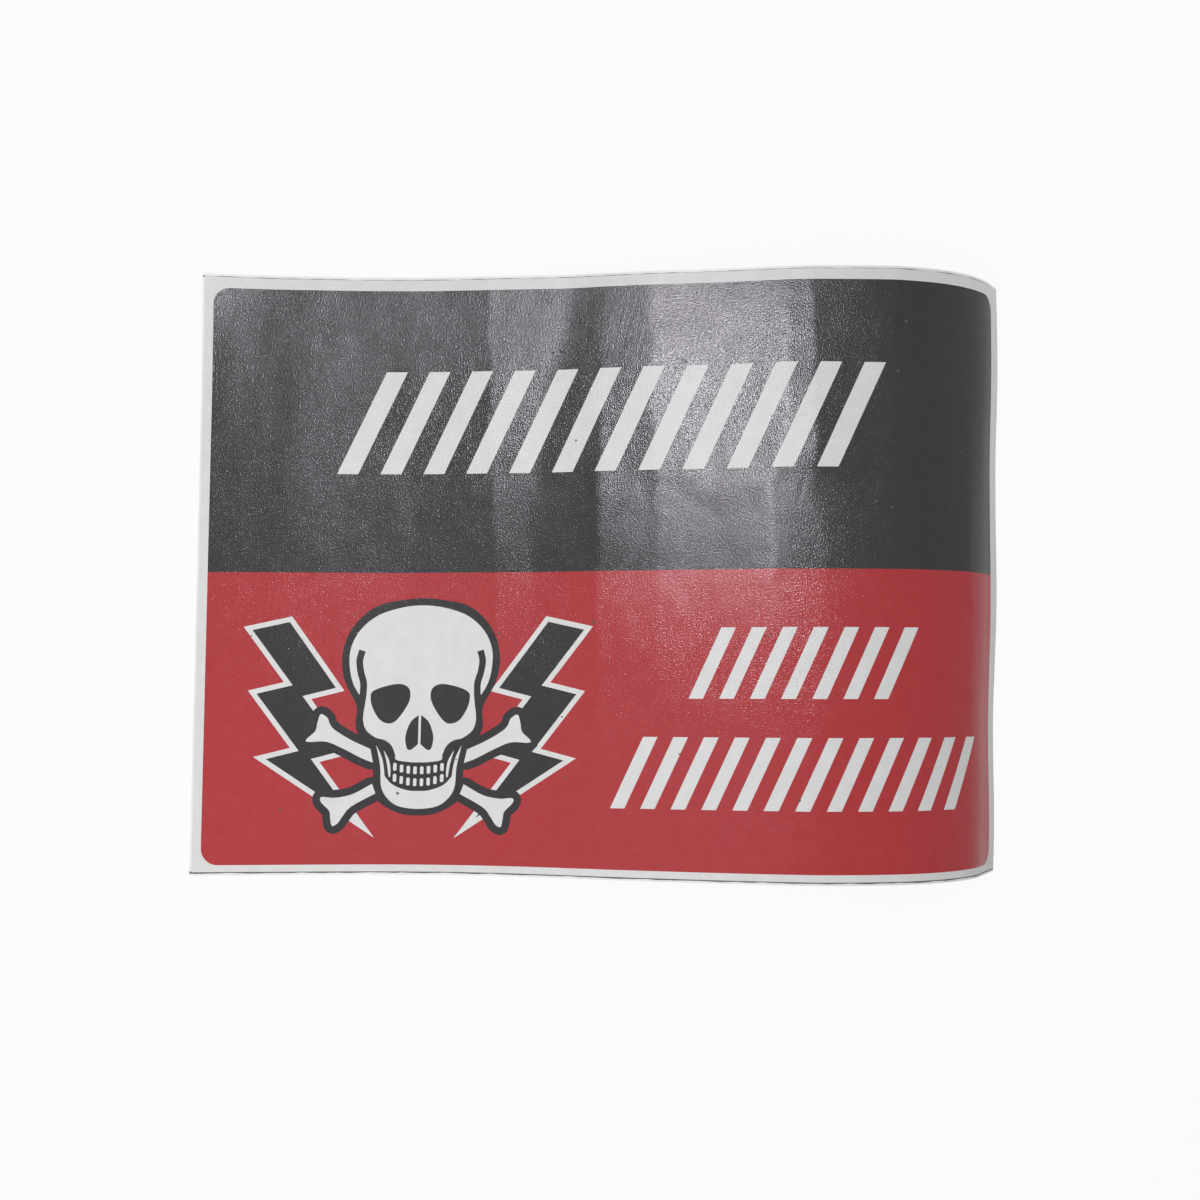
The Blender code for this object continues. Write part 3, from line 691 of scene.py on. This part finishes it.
# The laminate's skin: fine grain, cockles and streaks of the film, ripples and swellings, as a height
# in millimetres, and how rough it is
COCKLE_SIZE = 0.026
STREAK_SIZE = 0.008
GLOSS_PATCH = 0.009
skin_tree, given, wanted = start_group(
    "laminate",
    (("Flat", "Vector", (0.0, 0.0, 0.0)), ("Grain Size", "Float", 0.00060), ("Grain Depth", "Float", 0.025),
     ("Cockle Depth", "Float", 0.10), ("Streak Depth", "Float", 0.012), ("Gloss Change", "Float", 0.015),
     ("Roughness", "Float", 0.22)),
    (("Height", "Float"), ("Roughness", "Float")))
where = given["Flat"]
drawn = add(skin_tree, "ShaderNodeVectorMath", {"operation": "MULTIPLY"}, {0: where, 1: (1.0, 0.7, 1.0)})
height = 0.0
for flat, size, seed, detail, depth in (
        (where, given["Grain Size"], 0.1, 1.0, given["Grain Depth"]),
        (drawn.outputs[0], COCKLE_SIZE, 0.7, 1.0, given["Cockle Depth"]),
        (drawn.outputs[0], STREAK_SIZE, 0.9, 1.0, given["Streak Depth"])):
    patches = place_group(skin_tree, cloud_tree, {"Flat": flat, "Size": size, "Seed": seed, "Detail": detail})
    height = maths(skin_tree, "MULTIPLY_ADD", patches["Value"], depth, height)
for at, angle, patch, spacing, depth in RIPPLES:
    lines = place_group(skin_tree, ripple_tree, {
        "Flat": where, "At": at, "Angle": radians(-angle), "Patch": patch, "Spacing": spacing})
    height = maths(skin_tree, "MULTIPLY_ADD", lines["Height"], depth, height)
for at, angle, reach, high in SWELLINGS:
    swell = place_group(skin_tree, swell_tree, {
        "Flat": where, "At": at, "Angle": radians(-angle), "Reach": reach})
    height = maths(skin_tree, "MULTIPLY_ADD", swell["Height"], high, height)
skin_tree.links.new(height, wanted["Height"])
gloss = place_group(skin_tree, cloud_tree, {"Flat": where, "Size": GLOSS_PATCH, "Seed": 1.1})["Value"]
rough = maths(skin_tree, "MULTIPLY_ADD", gloss, given["Gloss Change"], given["Roughness"])
skin_tree.links.new(rough, wanted["Roughness"])

SPECK_COLOUR = (0.10, 0.09, 0.08, 1.0)
SPECK_SPACING = 0.042
SPECK_RADIUS = 0.0006
WORN_PATCH = 0.006
SHEEN_TINT = (0.97, 0.93, 1.0, 1.0)

# Each colour of the print: its ink as new and as worn, how rough the laminate is over it, and how much
# it reflects
INKS = (
    ("white_vinyl", (0.70, 0.70, 0.70, 1.0), (0.66, 0.66, 0.65, 1.0), 0.48, 0.4),
    ("black_print", (0.031, 0.031, 0.032, 1.0), (0.037, 0.036, 0.037, 1.0), 0.22, 0.3),
    ("red_print", (0.410, 0.030, 0.035, 1.0), (0.425, 0.036, 0.041, 1.0), 0.22, 0.3),
)
for name, colour, worn, roughness, specular in INKS:
    material, tree, shader, where = start_material(name)
    skin = place_group(tree, skin_tree, {"Flat": where, "Roughness": roughness})
    shade = place_group(tree, cloud_tree, {"Flat": where, "Size": WORN_PATCH, "Seed": 0.2})["Value"]
    dirt = place_group(tree, speck_tree, {
        "Flat": where, "Spacing": SPECK_SPACING, "Radius": SPECK_RADIUS})["Mask"]
    blend = add(tree, "ShaderNodeMix", {"data_type": "RGBA"}, {
        "Factor": maths(tree, "MULTIPLY_ADD", shade, 0.5, 0.5), 6: colour, 7: worn})
    soiled = add(tree, "ShaderNodeMix", {"data_type": "RGBA"}, {
        "Factor": dirt, 6: blend.outputs[2], 7: SPECK_COLOUR})
    tree.links.new(soiled.outputs[2], shader.inputs["Base Color"])
    tree.links.new(skin["Roughness"], shader.inputs["Roughness"])
    shader.inputs["Specular IOR Level"].default_value = specular
    shader.inputs["Specular Tint"].default_value = SHEEN_TINT
    bump = add(tree, "ShaderNodeBump", None, {"Strength": 1.0, "Distance": 0.001, "Height": skin["Height"]})
    tree.links.new(bump.outputs[0], shader.inputs["Normal"])
    film.data.materials.append(material)
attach(film, "root")
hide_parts("printed_vinyl")

# The stage is a plain pale floor under the sheet, which shows white to the camera and keeps the
# sheet's shadow, with an even pale surrounding, one lamp for the sheen and two for the dull light.
FLOOR_REACH = 3.0
FLOOR_DROP = 0.0001
FLOOR_COLOUR = (0.62, 0.62, 0.62, 1.0)
FLOOR_SHOWN = 0.93
floor_mesh = bpy.data.meshes.new("floor")
floor_mesh.from_pydata([(x * FLOOR_REACH, y * FLOOR_REACH, FLOOR_CORNER.z - FLOOR_DROP)
                        for x, y in ((-1, -1), (1, -1), (1, 1), (-1, 1))], [], [(0, 1, 2, 3)])
floor = bpy.data.objects.new("floor", floor_mesh)
bpy.context.scene.collection.objects.link(floor)
floor_paint = bpy.data.materials.new("floor_paint")
floor_paint.use_nodes = True
tree = floor_paint.node_tree
shader = tree.nodes["Principled BSDF"]
shader.inputs["Base Color"].default_value = FLOOR_COLOUR
shader.inputs["Roughness"].default_value = 0.9
shader.inputs["Specular IOR Level"].default_value = 0.1

# Reflections show a part of the white that the camera sees, because the room round the floor was dimmer
MIRRORED_SHARE = 0.5
seen = add(tree, "ShaderNodeLightPath")
mirrored_white = maths(tree, "MULTIPLY", seen.outputs["Is Glossy Ray"], MIRRORED_SHARE)
shown = maths(tree, "MAXIMUM", seen.outputs["Is Camera Ray"], seen.outputs["Is Transmission Ray"])
shown = maths(tree, "MAXIMUM", shown, mirrored_white)
white = add(tree, "ShaderNodeEmission", None, {"Color": (1.0, 1.0, 1.0, 1.0), "Strength": 1.0})
mixed = add(tree, "ShaderNodeMixShader", None, {0: maths(tree, "MULTIPLY", shown, FLOOR_SHOWN)})
tree.links.new(shader.outputs[0], mixed.inputs[1])
tree.links.new(white.outputs[0], mixed.inputs[2])
tree.links.new(mixed.outputs[0], tree.nodes["Material Output"].inputs["Surface"])
floor_mesh.materials.append(floor_paint)

SURROUNDINGS = 0.48
world = bpy.data.worlds.new("surroundings")
bpy.context.scene.world = world
world.use_nodes = True
tree = world.node_tree
seen = add(tree, "ShaderNodeLightPath")
mirrored_white = maths(tree, "MULTIPLY", seen.outputs["Is Glossy Ray"], MIRRORED_SHARE)
shown = maths(tree, "MAXIMUM", seen.outputs["Is Camera Ray"], seen.outputs["Is Transmission Ray"])
shown = maths(tree, "MAXIMUM", shown, mirrored_white)
air = tree.nodes["Background"]
air.inputs["Color"].default_value = (1.0, 1.0, 1.0, 1.0)
tree.links.new(maths(tree, "MULTIPLY_ADD", shown, 1.0 - SURROUNDINGS, SURROUNDINGS), air.inputs["Strength"])

# Each lamp: its place, its width, its power and what it is for. The first is the window whose sheen
# lies over the print, and the others are the soft light of the room.
LAMPS = (
    ("sheen_lamp", (-0.046, 0.30, 0.70), 0.20, 6.5, "sheen"),
    ("fill_lamp", (-0.18, -0.12, 0.42), 0.40, 1.18, "fill"),
    ("side_lamp", (0.46, 0.20, 0.10), 0.16, 0.25, "fill"),
)
for name, at, wide, power, purpose in LAMPS:
    data = bpy.data.lights.new(name, "AREA")
    data.shape = "DISK"
    data.size = wide
    data.energy = power
    lamp = bpy.data.objects.new(name, data)
    lamp.location = at
    lamp.rotation_euler = (-Vector(at)).to_track_quat("-Z", "Y").to_euler()
    lamp.visible_diffuse = purpose == "fill"
    lamp.visible_glossy = purpose == "sheen"
    bpy.context.scene.collection.objects.link(lamp)

# The camera looks down on the sheet, a little from its lower edge, as the photo does. Its place is
# measured from the left end of the line between the two fields, and its turns are in degrees.
CAMERA_FROM_PRINT = (0.137639, -0.047060, 0.503064)
CAMERA_TURNS = (-4.118, 2.859, -0.282)
SENSOR_WIDE = 36.0
LENS = 36.0
CAMERA_NEAR = 0.01
camera_data = bpy.data.cameras.new("camera")
camera_data.sensor_width = SENSOR_WIDE
camera_data.lens = LENS
camera_data.clip_start = CAMERA_NEAR
camera = bpy.data.objects.new("camera", camera_data)
pitch, yaw, roll = (radians(turn) for turn in CAMERA_TURNS)
seen_by = Matrix.Rotation(roll, 3, "Z") @ Matrix.Rotation(yaw, 3, "Y") @ Matrix.Rotation(pitch, 3, "X")
camera_at = FLOOR_CORNER + Vector((PRINT_LEFT, line, 0.0)) + Vector(CAMERA_FROM_PRINT)
camera.matrix_world = Matrix.Translation(camera_at) @ seen_by.transposed().to_4x4()
bpy.context.scene.collection.objects.link(camera)
bpy.context.scene.camera = camera
bpy.context.scene.view_settings.view_transform = "Standard"
